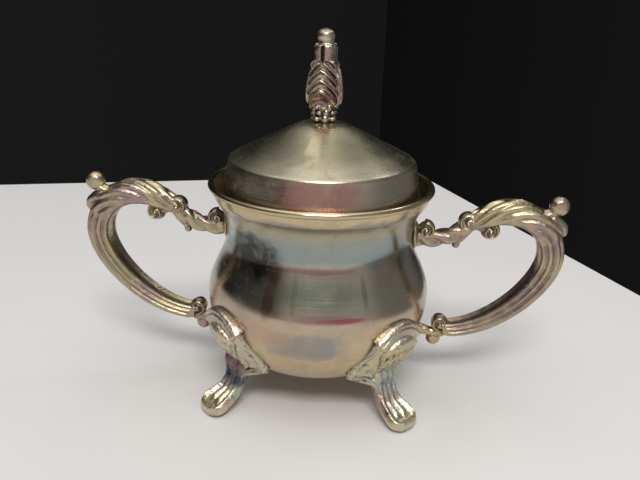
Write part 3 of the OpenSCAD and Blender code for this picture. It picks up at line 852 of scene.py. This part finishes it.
def bowl_material():
    return plated(
        "tarnish_and_painted_reflections_bowl",
        tones=[(0.0, (0.54, 0.43, 0.28)), (0.3, (0.60, 0.49, 0.34)), (0.55, (0.48, 0.45, 0.36)),
               (0.8, (0.50, 0.38, 0.30)), (1.0, (0.58, 0.45, 0.29))],
        height_tones=[(0.1, (0.60, 0.46, 0.31)), (0.24, (0.60, 0.47, 0.31)), (0.29, (0.50, 0.39, 0.30)),
                      (0.35, (0.46, 0.45, 0.36)), (0.405, (0.44, 0.37, 0.32)), (0.43, (0.20, 0.29, 0.32)),
                      (0.475, (0.26, 0.33, 0.32)), (0.50, (0.40, 0.38, 0.27)), (0.525, (0.26, 0.29, 0.28)),
                      (0.535, (0.62, 0.50, 0.30)), (0.57, (0.62, 0.50, 0.31)), (0.585, (0.80, 0.69, 0.50))],
        height_share=0.78, rough=(0.14, 0.24), brushed=0.9, dents=0.2, grain=0.35, patches=52.0,
        # painted reflection: the seven patches on the belly's front between 43 and 58 mm high, from -20 to 29
        # degrees, paint the reflection of a dark frame with reddish edges
        stains_and_painted_light=[(-35, 60.0, 19, 7.5, (0.035, 0.04, 0.035), 0.92), (-60, 68.0, 9, 5.0, (0.60, 0.62, 0.60), 0.6),
                (56, 61.0, 9, 6.0, (0.26, 0.24, 0.20), 0.7), (-20, 50.0, 3, 8.5, (0.30, 0.15, 0.11), 0.75),
                (-7, 51.0, 1.5, 7.0, (0.20, 0.18, 0.14), 0.5), (29, 51.0, 1.5, 6.0, (0.20, 0.17, 0.14), 0.5),
                (4, 51.0, 15, 5.0, (0.34, 0.38, 0.29), 0.6), (2, 58.0, 22, 1.1, (0.34, 0.14, 0.14), 0.55),
                (8, 43.6, 14, 1.6, (0.42, 0.17, 0.15), 0.45), (17, 43.2, 12, 0.8, (0.50, 0.11, 0.13), 0.8),
                (0, 33.5, 19, 5.0, (0.22, 0.25, 0.27), 0.7), (-52, 34.0, 5, 5.0, (0.42, 0.48, 0.34), 0.4),
                (-20, 36.0, 12, 4.0, (0.50, 0.33, 0.26), 0.5), (66, 68.0, 12, 5.0, (0.36, 0.26, 0.25), 0.7)])


def lid_material():
    return plated(
        "tarnish_and_painted_light_lid",
        tones=[(0.0, (0.46, 0.42, 0.27)), (0.4, (0.52, 0.47, 0.31)), (0.7, (0.40, 0.38, 0.28)),
               (1.0, (0.50, 0.41, 0.27))],
        # painted shade and painted highlight: the stops from 0.66 up make the cone darker in its middle and
        # lighter at its top
        height_tones=[(0.5, (0.42, 0.38, 0.32)), (0.57, (0.44, 0.39, 0.33)), (0.615, (0.52, 0.46, 0.38)),
                      (0.64, (0.52, 0.46, 0.33)), (0.66, (0.28, 0.26, 0.17)),
                      (0.69, (0.33, 0.31, 0.19)), (0.715, (0.66, 0.59, 0.38))],
        height_share=0.7, rough=(0.2, 0.32), brushed=0.8, dents=0.2, grain=0.8,
        # painted reflection and painted highlight: the rose patch at 83 mm paints a reflection on the front of
        # the lid's band, and the pale patch at 97 mm paints a highlight streak on the front of the cone
        stains_and_painted_light=[(2, 83.0, 26, 4.6, (0.52, 0.19, 0.17), 0.65), (-4, 97.0, 7, 5.0, (0.74, 0.68, 0.44), 0.5)])


def casting_material():
    return plated(
        "tarnished_casting",
        tones=[(0.0, (0.48, 0.38, 0.21)), (0.25, (0.56, 0.46, 0.28)), (0.45, (0.46, 0.41, 0.28)),
               (0.6, (0.46, 0.33, 0.26)), (0.75, (0.36, 0.28, 0.28)),
               (0.85, (0.48, 0.40, 0.26)), (1.0, (0.56, 0.45, 0.27))],
        rough=(0.22, 0.38), crevice=0.9, dents=0.10, grain=1.6, lumps=0.35, patches=60.0)


def foot_material():
    return plated(
        "tarnished_foot",
        tones=[(0.0, (0.60, 0.60, 0.36)), (0.3, (0.70, 0.64, 0.46)), (0.5, (0.66, 0.49, 0.40)),
               (0.7, (0.46, 0.54, 0.48)), (0.85, (0.66, 0.58, 0.34)), (1.0, (0.60, 0.43, 0.38))],
        height_tones=[(0.0, (0.66, 0.55, 0.36)), (0.04, (0.74, 0.68, 0.50)), (0.065, (0.52, 0.56, 0.52)),
                      (0.09, (0.42, 0.46, 0.44)), (0.12, (0.50, 0.50, 0.42)), (0.165, (0.66, 0.62, 0.44)),
                      (0.2, (0.66, 0.62, 0.40)), (0.25, (0.64, 0.55, 0.46)), (0.3, (0.62, 0.55, 0.40))],
        height_share=0.4, rough=(0.26, 0.44), crevice=0.95, dents=0.10, grain=4.0, lumps=0.7,
        dirt=(0.075, 0.045, 0.055), patches=110.0,
        stains_and_painted_light=[(-47, 16.5, 12, 3.8, (0.15, 0.06, 0.10), 0.9), (-47, 11.5, 9, 2.6, (0.035, 0.04, 0.08), 0.92),
                (45, 27.0, 14, 5.0, (0.62, 0.50, 0.26), 0.55),
                (47, 15.0, 8, 3.5, (0.34, 0.44, 0.46), 0.6), (41, 9.0, 4, 4.0, (0.36, 0.22, 0.16), 0.5),
                (134, 14.0, 14, 4.5, (0.20, 0.12, 0.16), 0.7), (-134, 12.0, 14, 4.0, (0.24, 0.30, 0.32), 0.6)])


def finial_material():
    return plated(
        "dark_finial",
        tones=[(0.0, (0.44, 0.33, 0.26)), (0.4, (0.58, 0.52, 0.42)), (0.7, (0.34, 0.22, 0.20)),
               (1.0, (0.54, 0.50, 0.41))],
        rough=(0.22, 0.36), crevice=0.95, dents=0.08, grain=1.2, lumps=0.12, patches=110.0,
        stains_and_painted_light=[(-11, 109.0, 45, 2.4, (0.22, 0.11, 0.13), 0.9), (0, 123.0, 400, 2.6, (0.36, 0.25, 0.21), 0.6)])


def fastener_material():
    return plated("plain_steel", tones=[(0.0, (0.50, 0.48, 0.44)), (1.0, (0.58, 0.56, 0.52))],
                  rough=(0.28, 0.42), dents=0.03, grain=0.8)


# ---------------------------------------------------------------- pieces on their bodies
def place(piece, body, node, slot, material):
    piece.data.materials.clear()
    piece.data.materials.append(material)
    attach(piece, body)
    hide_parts(node)


def build_pieces():
    place(bowl_piece(), "bowl", "bowl_body", "silver_plate", bowl_material())
    place(lid_piece(), "lid", "lid_shell", "silver_plate", lid_material())
    place(finial_piece(), "lid", "finial", "finial_metal", finial_material())
    steel = fastener_material()
    place(thread_piece(), "lid", "finial_stud", "fastener_steel", steel)
    place(washer_piece(), "lid", "finial_washer", "fastener_steel", steel)
    place(nut_piece(), "lid", "finial_nut", "fastener_steel", steel)
    handle = fused("cast_handle_right", handle_shells(), HANDLE_VOXEL, HANDLE_KEEP)
    press_to_bowl(handle)
    gilt = casting_material()
    place(turned(handle, "cast_handle_left", 180), "bowl", "handle_left", "cast_silver_plate", gilt)
    place(handle, "bowl", "handle_right", "cast_silver_plate", gilt)
    foot = foot_piece()
    cast = foot_material()
    for name, angle in (("front_right", -FOOT_ANGLE), ("back_right", FOOT_ANGLE),
                        ("back_left", 180 - FOOT_ANGLE), ("front_left", 180 + FOOT_ANGLE)):
        place(turned(foot, "cast_foot_" + name, angle), "bowl", "foot_" + name, "cast_silver_plate", cast)
    bpy.data.objects.remove(foot)


# ---------------------------------------------------------------- stage, light and camera
CAMERA_AZIMUTH = 4.9
CAMERA_DISTANCE = 0.2308
CAMERA_HEIGHT = 0.1416
CAMERA_AIM_X, CAMERA_AIM_Z = 0.0001, 0.0566
CAMERA_ROLL = 1.84
CAMERA_LENS = 37.2
CAMERA_SENSOR = 36.0
CAMERA_NEAREST = 0.01
LAMPS = (
    # name, place, target, size, power, colour
    ("ceiling_lamp", (-0.1, -0.1, 1.5), (0, 0, 0), (1.6, 1.6), 5.5, (1.0, 0.985, 0.96)),
    ("key_lamp", (0.12, -0.95, 1.15), (0, 0, 0), (0.7, 0.35), 12.0, (1.0, 0.98, 0.95)),
    ("back_lamp", (0.5, 0.5, 0.9), (0, 0, 0.05), (0.2, 0.15), 0.5, (0.95, 0.98, 1.0)))
WALLS = (
    # share of the turn round the room, from behind the bowl by its left, and brightness
    (0.0, 0.008), (0.22, 0.012), (0.30, 0.05), (0.39, 0.10), (0.43, 0.42), (0.50, 0.46), (0.56, 0.40),
    (0.66, 0.40), (0.70, 0.22), (0.86, 0.16), (0.92, 0.008), (1.0, 0.004))
CEILING = [(0.3, (0.02,) * 3), (0.55, (0.12, 0.12, 0.125)), (0.8, (0.42, 0.42, 0.43)), (1.0, (0.7, 0.7, 0.7))]


def plain_material(name, colour, roughness):
    n = Nodes(name)
    place_at = n.add("ShaderNodeTexCoord").outputs["Object"]
    weave = n.noise(place_at, 1500.0, 2.0, 0.6)
    tone = n.mix(n.span(n.noise(place_at, 9.0, 3.0), 0.3, 0.7), [c * 0.97 for c in colour], colour)
    relief = n.add("ShaderNodeBump", {"Height": weave, "Strength": 0.15, "Distance": 0.0005}).outputs[0]
    shader = n.add("ShaderNodeBsdfPrincipled", {"Base Color": tone, "Roughness": roughness, "Normal": relief})
    n.add("ShaderNodeOutputMaterial", {"Surface": shader.outputs[0]})
    return n.material


def build_floor():
    """Pale table top whose far corner lies behind the bowl."""
    corner = np.array([57.0, 328.0])
    left, near = np.array([-0.957, -0.29]), np.array([0.41, -0.912])
    size = 1500.0
    points = [corner, corner + left * size, corner + left * size + near * size, corner + near * size]
    mesh = bpy.data.meshes.new("floor")
    mesh.from_pydata([(p[0] * MM, p[1] * MM, 0.0) for p in points], [], [(0, 1, 2, 3)])
    floor = bpy.data.objects.new("floor", mesh)
    bpy.context.scene.collection.objects.link(floor)
    mesh.materials.append(plain_material("pale_cloth", (0.78, 0.765, 0.755), 0.9))


def area_light(name, place_at, target, size, power, colour):
    data = bpy.data.lights.new(name, "AREA")
    data.shape = "RECTANGLE"
    data.size, data.size_y = size
    data.energy = power
    data.color = colour
    light = bpy.data.objects.new(name, data)
    light.location = place_at
    light.rotation_euler = (Vector(target) - Vector(place_at)).to_track_quat("-Z", "Y").to_euler()
    bpy.context.scene.collection.objects.link(light)


def build_light():
    """Dim room with a pale ceiling and paler walls in front, and the lamps."""
    n = Nodes("room_nodes")
    bpy.data.materials.remove(n.material)
    world = bpy.data.worlds.new("room")
    bpy.context.scene.world = world
    world.use_nodes = True
    n.tree = world.node_tree
    n.tree.nodes.clear()
    axes = n.add("ShaderNodeSeparateXYZ", {0: n.add("ShaderNodeTexCoord").outputs["Generated"]})
    x, y, z = axes.outputs
    around = n.math("ARCTAN2", x, n.math("MULTIPLY", y, -1.0))
    around = n.span(around, -math.pi, math.pi)
    walls = n.ramp(around, [(share, (level,) * 3) for share, level in WALLS])
    ceiling = n.ramp(z, CEILING)
    colour = n.mix(n.span(z, 0.3, 0.6), walls, ceiling)
    background = n.add("ShaderNodeBackground", {"Color": colour, "Strength": 1.0})
    n.add("ShaderNodeOutputWorld", {"Surface": background.outputs[0]})
    for lamp in LAMPS:
        area_light(*lamp)


def build_camera():
    data = bpy.data.cameras.new("camera")
    data.sensor_width = CAMERA_SENSOR
    data.lens = CAMERA_LENS
    data.clip_start = CAMERA_NEAREST
    camera = bpy.data.objects.new("camera", data)
    bpy.context.scene.collection.objects.link(camera)
    a = math.radians(CAMERA_AZIMUTH)
    camera.location = (CAMERA_DISTANCE * math.sin(a), -CAMERA_DISTANCE * math.cos(a), CAMERA_HEIGHT)
    look = Vector((CAMERA_AIM_X, 0, CAMERA_AIM_Z)) - camera.location
    turn = look.to_track_quat("-Z", "Y").to_matrix() @ Euler((0, 0, math.radians(CAMERA_ROLL))).to_matrix()
    camera.rotation_euler = turn.to_euler()
    bpy.context.scene.camera = camera


build_pieces()
build_floor()
build_light()
build_camera()

bpy.context.scene.view_settings.view_transform = "Standard"
